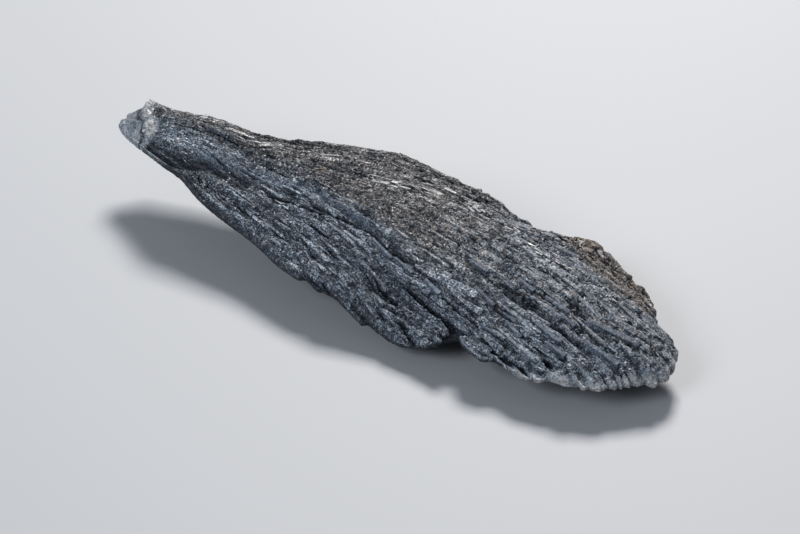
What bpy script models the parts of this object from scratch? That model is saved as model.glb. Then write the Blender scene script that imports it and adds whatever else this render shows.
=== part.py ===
"""A taramite specimen: one fan-shaped spray of amphibole blades grown together, lying on its belly.

A sheet of fibre lines is laid out in plan, raised to the top and belly heights, and trimmed to the broken
outline. Every ridge, blade and furrow follows the fibre lines.
Frame: +X from the narrow tip to the broad end, +Y to the back edge, +Z up. The origin lies on the floor
under the middle of the outline; the plan numbers below count from a point CENTRE away from it.
"""

import bmesh
import bpy
import numpy as np

MM = 0.001
NAME = "taramite_crystal"

# ---- Driving dimensions, in millimetres -------------------------------------------------------------

ROWS = 104  # stations along the fibres
SHEET_X = (-34.0, 35.0)  # ends of the sheet before it is trimmed
RIDGES = 42  # flat-sided prisms across the whole sheet
STRIPS = 2  # mesh strips across each prism
KEEP = 0.37  # share of the trimmed mesh that is kept

# Broken rim: x, y and height of its middle, from the tip along the front edge, round the broad end and home
# along the back.
OUTLINE = [
    (-33.2, -0.7, 6.9), (-33.0, -1.5, 6.9), (-32.1, -2.2, 6.8), (-30.2, -3.1, 6.8), (-28.4, -4.0, 7.0),
    (-26.3, -5.1, 7.5), (-24.4, -5.9, 7.6), (-21.9, -6.3, 7.2), (-20.4, -6.9, 6.6), (-18.9, -7.5, 6.2),
    (-16.0, -8.2, 5.5), (-13.2, -8.8, 5.1), (-10.1, -9.8, 4.8), (-6.9, -11.1, 4.3), (-4.8, -11.6, 4.2),
    (-3.9, -11.3, 4.2), (-2.1, -12.1, 4.1), (-0.1, -11.8, 3.8), (0.8, -12.1, 3.4), (3.3, -12.7, 2.4),
    (4.0, -12.3, 2.2), (5.5, -12.9, 2.0), (7.9, -13.3, 2.0), (9.8, -13.2, 2.4), (12.2, -12.8, 3.4),
    (12.9, -11.8, 4.3), (14.7, -12.7, 4.1), (16.5, -13.1, 3.4), (18.2, -12.5, 3.5), (20.0, -13.1, 3.4),
    (22.0, -13.2, 3.1), (23.8, -12.6, 3.7), (25.3, -12.3, 3.5), (27.6, -11.7, 3.4), (28.8, -10.6, 3.3),
    (29.6, -9.7, 3.2), (31.0, -8.4, 3.1), (32.2, -7.6, 3.2), (32.8, -5.4, 2.8), (32.4, -3.4, 2.9),
    (31.7, -1.8, 3.0), (30.1, -0.7, 3.1), (28.5, 0.3, 3.2), (26.9, 2.8, 3.3), (24.5, 4.7, 3.4),
    (21.9, 6.1, 3.5), (19.4, 7.8, 3.6), (17.4, 8.8, 3.8), (15.4, 7.9, 4.0), (12.9, 7.3, 4.3),
    (11.1, 6.7, 4.5), (7.5, 7.9, 4.8), (4.8, 8.5, 5.0), (2.0, 8.3, 5.2), (-1.0, 8.4, 5.8), (-3.6, 8.8, 6.2),
    (-5.8, 7.7, 6.2), (-8.2, 7.0, 6.1), (-11.0, 6.1, 5.8), (-14.0, 5.2, 5.5), (-18.0, 4.1, 5.9),
    (-22.0, 3.4, 6.3), (-25.5, 3.0, 6.7), (-28.0, 2.7, 7.1), (-30.8, 2.4, 7.4), (-32.0, 0.9, 7.2),
]

# The middle of the outline's extent, which becomes the origin.
CENTRE = (np.min(OUTLINE, axis=0) + np.max(OUTLINE, axis=0))[:2] / 2

# Guide fibres in plan: y at each station, from the front of the sheet to its back. The front fibres bend
# towards the viewer, those of the back rise and then arch over.
GUIDE_X = (-35.0, -28.0, -20.0, -12.0, -4.0, 4.0, 12.0, 20.0, 28.0, 35.0)
GUIDE_Y = [
    (-3.0, -4.9, -8.6, -11.1, -13.4, -16.0, -18.5, -21.2, -23.9, -26.3),
    (-1.6, -2.4, -4.0, -6.2, -8.8, -11.6, -14.0, -16.6, -19.6, -22.2),
    (-0.8, -1.0, -1.3, -2.6, -4.4, -6.6, -8.6, -10.5, -13.2, -16.0),
    (0.2, -0.1, -0.4, 0.2, 1.8, 3.2, 3.0, 1.5, -0.6, -2.8),
    (1.0, 1.2, 2.2, 4.4, 6.8, 8.2, 8.0, 6.8, 5.0, 3.0),
    (2.6, 3.6, 6.2, 9.8, 13.0, 14.6, 14.4, 13.4, 11.8, 10.0),
]

# Cross sections: x, heights of the crest and of the belly, and the places of the two as shares of the width
# from front to back.
SECTIONS = [
    (-33.2, 6.9, 6.3, 0.60, 0.50),
    (-30.4, 8.6, 5.6, 0.68, 0.50),
    (-28.0, 8.9, 5.2, 0.70, 0.50),
    (-22.0, 9.3, 4.2, 0.74, 0.50),
    (-18.0, 8.8, 3.3, 0.74, 0.51),
    (-14.0, 9.1, 2.4, 0.76, 0.52),
    (-9.0, 9.5, 1.2, 0.74, 0.54),
    (-4.0, 9.6, 0.3, 0.71, 0.55),
    (3.0, 9.1, -0.4, 0.65, 0.56),
    (9.0, 8.2, -0.4, 0.60, 0.56),
    (16.0, 7.2, -0.4, 0.60, 0.55),
    (22.0, 6.2, -0.2, 0.58, 0.52),
    (28.0, 4.9, 0.7, 0.55, 0.50),
    (33.0, 3.7, 2.0, 0.50, 0.50),
]
# Terrace at the back of the broad end: the line in plan beyond which the top lies one layer lower.
TERRACE = [(9.0, 9.0), (12.5, 4.4), (18.0, 3.2), (22.0, 3.3), (25.0, 2.4), (27.5, 0.6), (31.0, -2.6)]
TERRACE_DROP = 0.8
TERRACE_STEP = 0.6  # width of its slope
FRONT_ROUND = 0.95  # how full the front slope is: 1 follows a sine
BACK_ROUND = 0.62  # how full the back slope is: 0.5 follows a circle
BELLY_ROUND = 0.75
RIM_LEAST = 1.0  # least height above and below the middle, before the rim is rounded
RIM_WIDTH = 1.3  # width of the rounded margin
# x, share of the thickness left at the very edge
RIM_SHARE = [(-33.0, 0.2), (-30.5, 0.75), (-24.0, 0.8), (-17.0, 0.45), (-8.0, 0.3)]

RIDGE_HEIGHT = 0.30  # relief of the prisms where they are at least FULL_ROOM wide
FULL_ROOM = 0.8
BELLY_RELIEF = 0.6  # share of the top relief that the underside carries
FLAT_X, FLAT_Y = (-7.0, 21.0), (-5.0, 4.5)  # where the belly is worn smooth and rests

# Blades broken off above the sheet. Each has its place among the fibres at its front and back side (0 front
# of the sheet, 1 back), where it breaks off, over what length it rises and how high it stands at the break.
BLADES = [
    (0.44, 0.52, -11.0, 13.0, 0.40),
    (0.17, 0.23, -6.0, 9.0, 0.40),
    (0.25, 0.31, 1.5, 9.0, 0.50),
    (0.33, 0.38, 7.5, 9.0, 0.45),
    (0.30, 0.34, 14.0, 8.0, 0.45),
    (0.42, 0.46, 16.0, 11.0, 0.40),
    (0.36, 0.40, 21.0, 9.0, 0.40),
    (0.47, 0.52, 24.0, 11.0, 0.45),
    (0.56, 0.61, 28.5, 9.0, 0.35),
    (0.53, 0.59, 9.0, 11.0, 0.30),
]
SMALL_BLADES = 46  # as the ones above, but scattered
SMALL_ENDS, SMALL_LENGTH, SMALL_HEIGHT = (-20.0, 30.0), (4.0, 10.0), (0.15, 0.40)
MOST_RAISED = 0.7  # where blades lie on each other

# Furrows: the longer open cracks, as place among the fibres, start, end, width among the fibres and depth.
FURROWS = [
    (0.215, -27.5, -15.5, 0.055, 0.80),
    (0.395, -8.0, 5.5, 0.020, 0.45),
    (0.29, 3.0, 12.0, 0.020, 0.50),
    (0.325, 8.0, 20.0, 0.018, 0.45),
    (0.355, 15.0, 25.0, 0.016, 0.40),
    (0.455, 12.0, 27.0, 0.016, 0.35),
]
FURROW_FADE = 2.0  # length over which a furrow's end runs out
EVEN_AT = 8.0  # the x at which the prisms are about equally wide
SWELL = (9.0, 16.0)  # distances over which a prism rises and sinks along its length

rng = np.random.default_rng(1303)


# ---- Plan -------------------------------------------------------------------------------------------


def fibre_y(place, x):
    """Plan y of the fibre at a place among the fibres (0 front, 1 back), at x."""
    guides = np.array([smooth_interp(x, GUIDE_X, row) for row in GUIDE_Y])
    at = np.clip(place, 0, 1) * (len(GUIDE_Y) - 1)
    low = np.minimum(at.astype(int), len(GUIDE_Y) - 2)
    first = np.take_along_axis(guides, low[None], 0)[0]
    second = np.take_along_axis(guides, low[None] + 1, 0)[0]
    return first + (second - first) * (at - low)


def smooth_interp(x, stations, values):
    """Interpolation through the stations with a continuous slope."""
    stations, values = np.asarray(stations), np.asarray(values)
    slopes = np.gradient(values, stations)
    k = np.clip(np.searchsorted(stations, x) - 1, 0, len(stations) - 2)
    step = stations[k + 1] - stations[k]
    t = np.clip((x - stations[k]) / step, 0, 1)
    return (
        values[k] * (1 + 2 * t) * (1 - t) ** 2
        + values[k + 1] * t**2 * (3 - 2 * t)
        + step * slopes[k] * t * (1 - t) ** 2
        + step * slopes[k + 1] * t**2 * (t - 1)
    )


def rim_sides(x, column):
    """Values of the rim at x on its front and its back side, with the notches smoothed away."""
    points = np.array(OUTLINE)
    turn = int(np.argmax(points[:, 0]))
    front, back = points[: turn + 1], points[turn:][::-1]
    reach = np.linspace(-1.5, 1.5, 7)
    return [
        np.mean([np.interp(x + r, side[:, 0], side[:, column]) for r in reach], axis=0)
        for side in (front, back)
    ]


def rim_distance(x, y):
    """Distance from each plan point to the outline, counted as 0 outside it."""
    points = np.array(OUTLINE)
    nearest, inside = np.full(x.shape, np.inf), np.zeros(x.shape, bool)
    for (ax, ay, _), (bx, by, _) in zip(points, np.roll(points, -1, axis=0)):
        dx, dy = bx - ax, by - ay
        t = np.clip(((x - ax) * dx + (y - ay) * dy) / (dx * dx + dy * dy), 0, 1)
        nearest = np.minimum(nearest, np.hypot(x - ax - t * dx, y - ay - t * dy))
        if dy:
            inside ^= ((ay > y) != (by > y)) & (x < ax + (y - ay) * dx / dy)
    return np.where(inside, nearest, 0)


# ---- Heights ----------------------------------------------------------------------------------------


def section(x, column):
    table = np.array(SECTIONS)
    return smooth_interp(x, table[:, 0], table[:, column])


def broad_shape(x, y):
    """Heights of the top and of the belly, without relief."""
    front, back = rim_sides(x, 1)
    z_front, z_back = rim_sides(x, 2)
    v = np.clip((y - front) / np.maximum(back - front, 1), 0, 1)
    crest, belly, v_crest, v_belly = (section(x, k) for k in (1, 2, 3, 4))
    rising = np.sin(np.clip(v / v_crest, 0, 1) * np.pi / 2) ** FRONT_ROUND
    falling = (1 - np.clip((v - v_crest) / (1 - v_crest), 0, 1) ** 2) ** BACK_ROUND
    top = np.where(v < v_crest, z_front + (crest - z_front) * rising, z_back + (crest - z_back) * falling)
    beyond = y - np.interp(x, *np.array(TERRACE).T)
    top = top - TERRACE_DROP * np.clip(beyond / TERRACE_STEP, 0, 1) * (x > TERRACE[0][0])
    edge = np.where(v < v_belly, z_front, z_back)
    side = np.where(v < v_belly, v / v_belly, (1 - v) / (1 - v_belly))
    low = edge + (belly - edge) * np.sin(side * np.pi / 2) ** BELLY_ROUND
    share = np.clip(rim_distance(x, y) / RIM_WIDTH, 0, 1)
    kept = np.interp(x, *np.array(RIM_SHARE).T)
    open_share = kept + (1 - kept) * np.sqrt(1 - (1 - share) ** 2)
    middle = z_front + (z_back - z_front) * v
    over, under = np.maximum(top - middle, RIM_LEAST), np.maximum(middle - low, RIM_LEAST)
    return middle + over * open_share, middle - under * open_share


def prism_knots():
    """Places of the edges between the flat-sided prisms, and their heights, up and down in turn."""
    widths = rng.uniform(0.45, 1.6, RIDGES)
    shares = np.concatenate([[0], np.cumsum(widths)]) / widths.sum()
    sample = np.linspace(0, 1, 400)
    across = fibre_y(sample, np.full_like(sample, EVEN_AT))
    places = np.interp(across[0] + shares * (across[-1] - across[0]), across, sample)
    heights = rng.uniform(0.4, 1.0, RIDGES + 1) * np.where(np.arange(RIDGES + 1) % 2, 1, -1)
    return places, heights


def swelling(place, x, places):
    """How strongly each prism edge stands out at x: the edges rise and sink along the fibres."""
    total = np.zeros_like(x)
    for reach in SWELL:
        phases = rng.uniform(0, 2 * np.pi, len(places))
        total += np.sin(x / reach * 2 * np.pi + np.interp(place, places, np.unwrap(phases)))
    return np.clip(0.65 + 0.45 * total, 0.1, 1.3)


def small_blades(places):
    """Scattered blades, each as wide as one prism or two."""
    blades = []
    for _ in range(SMALL_BLADES):
        first = rng.integers(3, RIDGES - 3)
        sides = places[first], places[first + rng.integers(1, 3)]
        end, length, height = (rng.uniform(*span) for span in (SMALL_ENDS, SMALL_LENGTH, SMALL_HEIGHT))
        blades.append((*sides, end, length, height))
    return blades


def relief(place, x, room, knots, blades, furrows):
    """Height of prisms, blades and furrows above the broad shape. Room is the local prism width."""
    ridge = np.interp(place, *knots) * swelling(place, x, knots[0])
    ridge = ridge * RIDGE_HEIGHT * np.clip(room / FULL_ROOM, 0.25, 1)
    raised = np.zeros_like(x)
    for low, high, end, length, height in blades:
        within = (place > low) & (place < high) & (x < end)
        raised += within * height * np.clip(1 - (end - x) / length, 0, 1)
    cut = np.zeros_like(x)
    for at, start, end, width, depth in furrows:
        across = np.clip(1 - np.abs(place - at) / width, 0, 1)
        lengthways = np.clip(np.minimum(x - start, end - x) / FURROW_FADE, 0, 1)
        cut = np.maximum(cut, depth * across * lengthways)
    return ridge + np.minimum(raised, MOST_RAISED) - cut


# ---- Solid ------------------------------------------------------------------------------------------


def clear_scene():
    for obj in list(bpy.data.objects):
        bpy.data.objects.remove(obj)
    for collection in list(bpy.data.collections):
        bpy.data.collections.remove(collection)


def placed(x, y, z):
    """A modelled point in metres, counted from the part's origin."""
    return (x - CENTRE[0]) * MM, (y - CENTRE[1]) * MM, z * MM


def new_collection(name):
    collection = bpy.data.collections.new(name)
    bpy.context.scene.collection.children.link(collection)
    return collection


def object_of(name, mesh_data, collection):
    mesh = bpy.data.meshes.new(name)
    mesh_data.to_mesh(mesh)
    mesh_data.free()
    obj = bpy.data.objects.new(name, mesh)
    collection.objects.link(obj)
    return obj


def make_spray(collection):
    """The whole sheet of fibres as a closed slab, before the outline trims it."""
    knots = prism_knots()
    columns = RIDGES * STRIPS
    between = np.arange(columns + 1) / STRIPS
    places = np.interp(between, np.arange(RIDGES + 1), knots[0])
    bm = bmesh.new()
    bmesh.ops.create_grid(bm, x_segments=ROWS, y_segments=columns, size=1)
    lower = bmesh.ops.extrude_face_region(bm, geom=bm.faces[:])["geom"]
    lower = {v for v in lower if isinstance(v, bmesh.types.BMVert)}
    verts = bm.verts[:]
    unit = np.array([v.co[:] for v in verts])
    is_low = np.array([v in lower for v in verts])
    x = np.interp(unit[:, 0], (-1, 1), SHEET_X)
    place = np.interp((unit[:, 1] + 1) / 2 * columns, np.arange(columns + 1), places)
    y = fibre_y(place, x)
    nudge = 0.5 / RIDGES
    room = fibre_y(np.minimum(place + nudge, 1), x) - fibre_y(np.maximum(place - nudge, 0), x)
    top, low = broad_shape(x, y)
    lift = relief(place, x, room, knots, BLADES + small_blades(knots[0]), FURROWS)
    under = relief(place, x, room, knots, small_blades(knots[0]), []) * BELLY_RELIEF
    worn = (x > FLAT_X[0]) & (x < FLAT_X[1]) & (y > FLAT_Y[0]) & (y < FLAT_Y[1])
    z = np.where(is_low, low - np.where(worn, 0, under), top + lift)
    for v, px, py, pz in zip(verts, x, y, z):
        v.co = placed(px, py, pz)
    bmesh.ops.recalc_face_normals(bm, faces=bm.faces[:])
    bmesh.ops.triangulate(bm, faces=bm.faces[:])
    return object_of(NAME, bm, collection)


def make_outline(collection):
    """Upright prism over the broken outline."""
    bm = bmesh.new()
    base, height = -5, 20
    face = bm.faces.new([bm.verts.new(placed(x, y, base)) for x, y, _ in OUTLINE])
    lid = bmesh.ops.extrude_face_region(bm, geom=[face])["geom"]
    lid = [v for v in lid if isinstance(v, bmesh.types.BMVert)]
    bmesh.ops.translate(bm, verts=lid, vec=(0, 0, height * MM))
    bmesh.ops.recalc_face_normals(bm, faces=bm.faces[:])
    return object_of("outline_cutter", bm, collection)


def make_floor(collection):
    """Block whose top lies at the floor: it leaves the worn facet that the specimen rests on."""
    bm = bmesh.new()
    side = 200 * MM
    bmesh.ops.create_cube(bm, size=side)
    bmesh.ops.translate(bm, verts=bm.verts[:], vec=(0, 0, -side / 2))
    return object_of("rest_cutter", bm, collection)


def add_boolean(obj, cutter, operation):
    modifier = obj.modifiers.new(cutter.name, "BOOLEAN")
    modifier.operation = operation
    modifier.solver = "EXACT"
    modifier.object = cutter


def stone():
    material = bpy.data.materials.new("taramite_stone")
    material.use_nodes = True
    shader = material.node_tree.nodes["Principled BSDF"]
    shader.inputs["Base Color"].default_value = (0.11, 0.115, 0.13, 1)
    shader.inputs["Roughness"].default_value = 0.45
    return material


def main():
    clear_scene()
    parts = new_collection(NAME)
    cutters = new_collection("cutters")
    cutters.hide_render = True
    spray = make_spray(parts)
    spray.data.materials.append(stone())
    outline, floor = make_outline(cutters), make_floor(cutters)
    for cutter in (outline, floor):
        cutter.hide_render = True
        cutter.display_type = "WIRE"
    add_boolean(spray, outline, "INTERSECT")
    thin_out = spray.modifiers.new("thin_out", "DECIMATE")
    thin_out.ratio = KEEP
    add_boolean(spray, floor, "DIFFERENCE")


main()
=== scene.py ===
import math

import bpy
import numpy as np
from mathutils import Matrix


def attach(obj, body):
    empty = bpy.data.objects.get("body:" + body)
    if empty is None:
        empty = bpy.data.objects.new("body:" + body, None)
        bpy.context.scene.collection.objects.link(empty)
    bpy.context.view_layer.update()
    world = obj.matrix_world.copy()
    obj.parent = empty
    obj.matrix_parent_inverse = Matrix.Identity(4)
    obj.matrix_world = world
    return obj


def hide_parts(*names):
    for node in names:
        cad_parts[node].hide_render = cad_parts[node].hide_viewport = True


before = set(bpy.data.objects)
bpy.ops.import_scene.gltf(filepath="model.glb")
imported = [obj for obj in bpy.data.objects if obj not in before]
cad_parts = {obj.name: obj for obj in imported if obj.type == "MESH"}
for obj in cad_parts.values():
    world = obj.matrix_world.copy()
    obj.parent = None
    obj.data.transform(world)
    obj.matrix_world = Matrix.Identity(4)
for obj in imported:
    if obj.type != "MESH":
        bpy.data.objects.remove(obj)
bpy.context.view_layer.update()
mm = 0.001
print("frame loaded")

# plan and heights of the spray, in millimetres, the same as the solid's
rim = [
    (-33.2, -0.7, 6.9), (-33, -1.5, 6.9), (-32.1, -2.2, 6.8), (-30.2, -3.1, 6.8), (-28.4, -4, 7),
    (-26.3, -5.1, 7.5), (-24.4, -5.9, 7.6), (-21.9, -6.3, 7.2), (-20.4, -6.9, 6.6), (-18.9, -7.5, 6.2),
    (-16, -8.2, 5.5), (-13.2, -8.8, 5.1), (-10.1, -9.8, 4.8), (-6.9, -11.1, 4.3), (-4.8, -11.6, 4.2),
    (-3.9, -11.3, 4.2), (-2.1, -12.1, 4.1), (-0.1, -11.8, 3.8), (0.8, -12.1, 3.4), (3.3, -12.7, 2.4),
    (4, -12.3, 2.2), (5.5, -12.9, 2), (7.9, -13.3, 2), (9.8, -13.2, 2.4), (12.2, -12.8, 3.4),
    (12.9, -11.8, 4.3), (14.7, -12.7, 4.1), (16.5, -13.1, 3.4), (18.2, -12.5, 3.5), (20, -13.1, 3.4),
    (22, -13.2, 3.1), (23.8, -12.6, 3.7), (25.3, -12.3, 3.5), (27.6, -11.7, 3.4), (28.8, -10.6, 3.3),
    (29.6, -9.7, 3.2), (31, -8.4, 3.1), (32.2, -7.6, 3.2), (32.8, -5.4, 2.8), (32.4, -3.4, 2.9),
    (31.7, -1.8, 3), (30.1, -0.7, 3.1), (28.5, 0.3, 3.2), (26.9, 2.8, 3.3), (24.5, 4.7, 3.4),
    (21.9, 6.1, 3.5), (19.4, 7.8, 3.6), (17.4, 8.8, 3.8), (15.4, 7.9, 4), (12.9, 7.3, 4.3),
    (11.1, 6.7, 4.5), (7.5, 7.9, 4.8), (4.8, 8.5, 5), (2, 8.3, 5.2), (-1, 8.4, 5.8), (-3.6, 8.8, 6.2),
    (-5.8, 7.7, 6.2), (-8.2, 7, 6.1), (-11, 6.1, 5.8), (-14, 5.2, 5.5), (-18, 4.1, 5.9),
    (-22, 3.4, 6.3), (-25.5, 3, 6.7), (-28, 2.7, 7.1), (-30.8, 2.4, 7.4), (-32, 0.9, 7.2),
]
rim = np.array(rim)
centre = (rim.min(0) + rim.max(0))[:2] / 2  # becomes the origin

spray = {
    "guideX": (-35.0, -28.0, -20.0, -12.0, -4.0, 4.0, 12.0, 20.0, 28.0, 35.0),
    "guideY": [  # guide fibres, front to back
        (-3.0, -4.9, -8.6, -11.1, -13.4, -16.0, -18.5, -21.2, -23.9, -26.3),
        (-1.6, -2.4, -4.0, -6.2, -8.8, -11.6, -14.0, -16.6, -19.6, -22.2),
        (-0.8, -1.0, -1.3, -2.6, -4.4, -6.6, -8.6, -10.5, -13.2, -16.0),
        (0.2, -0.1, -0.4, 0.2, 1.8, 3.2, 3.0, 1.5, -0.6, -2.8),
        (1.0, 1.2, 2.2, 4.4, 6.8, 8.2, 8.0, 6.8, 5.0, 3.0),
        (2.6, 3.6, 6.2, 9.8, 13.0, 14.6, 14.4, 13.4, 11.8, 10.0),
    ],
    # x, crest height, belly height, place of the crest and of the belly across the width
    "sections": [
        (-33.2, 6.9, 6.3, 0.6, 0.5), (-30.4, 8.6, 5.6, 0.68, 0.5), (-28, 8.9, 5.2, 0.7, 0.5),
        (-22, 9.3, 4.2, 0.74, 0.5), (-18, 8.8, 3.3, 0.74, 0.51), (-14, 9.1, 2.4, 0.76, 0.52),
        (-9, 9.5, 1.2, 0.74, 0.54), (-4, 9.6, 0.3, 0.71, 0.55), (3, 9.1, -0.4, 0.65, 0.56),
        (9, 8.2, -0.4, 0.6, 0.56), (16, 7.2, -0.4, 0.6, 0.55), (22, 6.2, -0.2, 0.58, 0.52),
        (28, 4.9, 0.7, 0.55, 0.5), (33, 3.7, 2, 0.5, 0.5),
    ],
    "terrace": [(9, 9), (12.5, 4.4), (18, 3.2), (22, 3.3), (25, 2.4), (27.5, 0.6), (31, -2.6)],
    "terraceDrop": 0.8,
    "terraceStep": 0.35,
    "rimWidth": 0.75,
    "edgeHalf": (0.35, 0.45),  # least half thickness at the front rim, over and under
    "backHalf": (0.8, 1),
    "edgeDrop": 0.3,
    "thinning": (-26, -18),  # the root end before it stays thick
    "fullness": (0.95, 0.62, 0.75),  # powers of the front, back and belly curves
    "rimShare": [(-33, 0.25), (-30.5, 0.6), (-24, 0.65), (-17, 0.45), (-8, 0.3)],
    "ridges": 42,
    "ridgeHeight": 0.12,
    "swell": (9.0, 16.0),
    "blades": [  # place among the fibres (two sides), where it breaks, its length, its height
        (0.44, 0.52, -11, 13, 0.4), (0.17, 0.23, -6, 9, 0.4), (0.25, 0.31, 1.5, 9, 0.5),
        (0.33, 0.38, 7.5, 9, 0.45), (0.3, 0.34, 14, 8, 0.45), (0.42, 0.46, 16, 11, 0.4),
        (0.36, 0.4, 21, 9, 0.4), (0.47, 0.52, 24, 11, 0.45), (0.56, 0.61, 28.5, 9, 0.35),
        (0.53, 0.59, 9, 11, 0.3),
    ],
    "smallBlades": 46,
    "bladeShare": 0.45,
    "furrows": [  # place, start, end, width among the fibres, depth
        (0.395, -8, 5.5, 0.02, 0.35), (0.29, 3, 12, 0.02, 0.4),
        (0.325, 8, 20, 0.018, 0.45), (0.355, 15, 25, 0.016, 0.4), (0.455, 12, 27, 0.016, 0.35),
    ],
}
dice = np.random.default_rng(1303)


def smoothInterp(x, stations, values):
    stations, values = np.asarray(stations), np.asarray(values)
    slopes = np.gradient(values, stations)
    k = np.clip(np.searchsorted(stations, x) - 1, 0, len(stations) - 2)
    step = stations[k + 1] - stations[k]
    t = unit((x - stations[k]) / step)
    near = values[k] * (1 + 2 * t) + step * slopes[k] * t
    far = values[k + 1] * (3 - 2 * t) + step * slopes[k + 1] * (t - 1)
    return near * (1 - t) ** 2 + far * t**2


def lineAt(points, x):  # value at x along a line of points
    return np.interp(x, *np.array(points).T)


def unit(value):  # held between 0 and 1
    return np.clip(value, 0, 1)


def guidesAt(x):
    return np.array([smoothInterp(x, spray["guideX"], row) for row in spray["guideY"]])


def guidePair(guides, low):  # the guide in front of each point and the one behind it
    return (np.take_along_axis(guides, low[None] + k, 0)[0] for k in (0, 1))


def fibreY(place, x):
    guides = guidesAt(x)
    at = unit(place) * (len(guides) - 1)
    low = np.minimum(at.astype(int), len(guides) - 2)
    first, second = guidePair(guides, low)
    return first + (second - first) * (at - low)


def placeOf(x, y):  # which fibre runs through a plan point
    guides = guidesAt(x)
    low = np.clip((guides < y).sum(0) - 1, 0, len(guides) - 2)
    first, second = guidePair(guides, low)
    return unit((low + (y - first) / (second - first)) / (len(guides) - 1))


def rimSides(x, column):
    turn = int(np.argmax(rim[:, 0]))
    reach = np.linspace(-1.5, 1.5, 7)
    return [
        np.mean([np.interp(x + r, side[:, 0], side[:, column]) for r in reach], axis=0)
        for side in (rim[: turn + 1], rim[turn:][::-1])
    ]


def distanceInside(x, y, outline):  # 0 outside the outline
    nearest, inside = np.full(x.shape, np.inf), np.zeros(x.shape, bool)
    for (ax, ay), (bx, by) in zip(outline, np.roll(outline, -1, axis=0)):
        dx, dy = bx - ax, by - ay
        t = unit(((x - ax) * dx + (y - ay) * dy) / (dx * dx + dy * dy))
        nearest = np.minimum(nearest, (x - ax - t * dx) ** 2 + (y - ay - t * dy) ** 2)
        if dy:
            inside ^= ((ay > y) != (by > y)) & (x < ax + (y - ay) * dx / dy)
    return np.where(inside, np.sqrt(nearest), 0)


def broadShape(x, y, toRim):
    front, back = rimSides(x, 1)
    zFront, zBack = rimSides(x, 2)
    v = unit((y - front) / np.maximum(back - front, 1))
    table = np.array(spray["sections"])
    crest, belly, vCrest, vBelly = (smoothInterp(x, table[:, 0], table[:, k]) for k in (1, 2, 3, 4))
    frontPower, backPower, bellyPower = spray["fullness"]
    rising = np.sin(unit(v / vCrest) * np.pi / 2) ** frontPower
    falling = (1 - unit((v - vCrest) / (1 - vCrest)) ** 2) ** backPower
    top = np.where(v < vCrest, zFront + (crest - zFront) * rising, zBack + (crest - zBack) * falling)
    beyond = unit((y - lineAt(spray["terrace"], x)) / spray["terraceStep"])
    top = top - spray["terraceDrop"] * beyond * (x > spray["terrace"][0][0])
    edge = np.where(v < vBelly, zFront, zBack)
    side = np.where(v < vBelly, v / vBelly, (1 - v) / (1 - vBelly))
    low = edge + (belly - edge) * np.sin(side * np.pi / 2) ** bellyPower
    share = unit(toRim / spray["rimWidth"])
    kept = lineAt(spray["rimShare"], x)
    opened = kept + (1 - kept) * np.sqrt(1 - (1 - share) ** 2)
    middle = zFront + (zBack - zFront) * v
    over, under = spray["edgeHalf"]
    backOver, backUnder = spray["backHalf"]
    outer = np.interp(x, spray["thinning"], (0, 1))
    over = np.where(v < 0.5, over, backOver)
    under = np.where(v < 0.5, under, backUnder + (under - backUnder) * outer)
    middle = middle - spray["edgeDrop"] * (0.4 + 0.6 * outer) * (v < 0.5)
    return middle + np.maximum(top - middle, over) * opened, middle - np.maximum(middle - low, under) * opened


def prismKnots():
    count = spray["ridges"]
    widths = dice.uniform(0.45, 1.6, count)
    shares = np.concatenate([[0], np.cumsum(widths)]) / widths.sum()
    sample = np.linspace(0, 1, 400)
    across = fibreY(sample, np.full_like(sample, 8.0))
    places = np.interp(across[0] + shares * (across[-1] - across[0]), across, sample)
    return places, dice.uniform(0.4, 1.0, count + 1) * np.where(np.arange(count + 1) % 2, 1, -1)


def scatterBlades():
    blades = []
    for _ in range(spray["smallBlades"]):
        first = dice.integers(3, spray["ridges"] - 3)
        sides = knots[0][first], knots[0][first + dice.integers(1, 3)]
        end, length, height = (dice.uniform(*span) for span in ((-20, 30), (4, 10), (0.15, 0.40)))
        blades.append((*sides, end, length, height))
    return blades


def swellPhases():
    return [np.unwrap(dice.uniform(0, 2 * np.pi, len(knots[0]))) for _ in spray["swell"]]


def roomAt(place, x):  # 1 where the fibres have spread out, less near the root
    nudge = 0.5 / spray["ridges"]
    gap = fibreY(np.minimum(place + nudge, 1), x) - fibreY(np.maximum(place - nudge, 0), x)
    return np.clip(gap / 0.8, 0.25, 1)


def relief(place, x, phases, blades, furrows):
    total = 0
    for reach, phase in zip(spray["swell"], phases):
        total = total + np.sin(x / reach * 2 * np.pi + np.interp(place, knots[0], phase))
    ridge = np.interp(place, *knots) * np.clip(0.65 + 0.45 * total, 0.1, 1.3)
    ridge = ridge * spray["ridgeHeight"] * roomAt(place, x)
    raised = np.zeros_like(x)
    ragged = 1.2 * np.interp(place, np.linspace(0, 1, len(raggedEnds)), raggedEnds)
    for low, high, end, length, height in blades:
        across = unit((place - low) / (high - low))
        back = end - x - 1.6 * (2 * across - 1) ** 2 - ragged
        sloping = height * unit(back / 0.25) * unit(1 - back / length)
        raised += (np.minimum(across, 1 - across) > 0) * sloping
    cut = np.zeros_like(x)
    for at, start, end, width, depth in furrows:
        across = unit(1 - np.abs(place - at) / width)
        cut = np.maximum(cut, depth * across * unit(np.minimum(x - start, end - x) / 2))
    return ridge + spray["bladeShare"] * np.minimum(raised, 0.7) - cut


knots = prismKnots()
topBlades = spray["blades"] + scatterBlades()
topPhases = swellPhases()
underBlades = scatterBlades()
underPhases = swellPhases()

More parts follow.
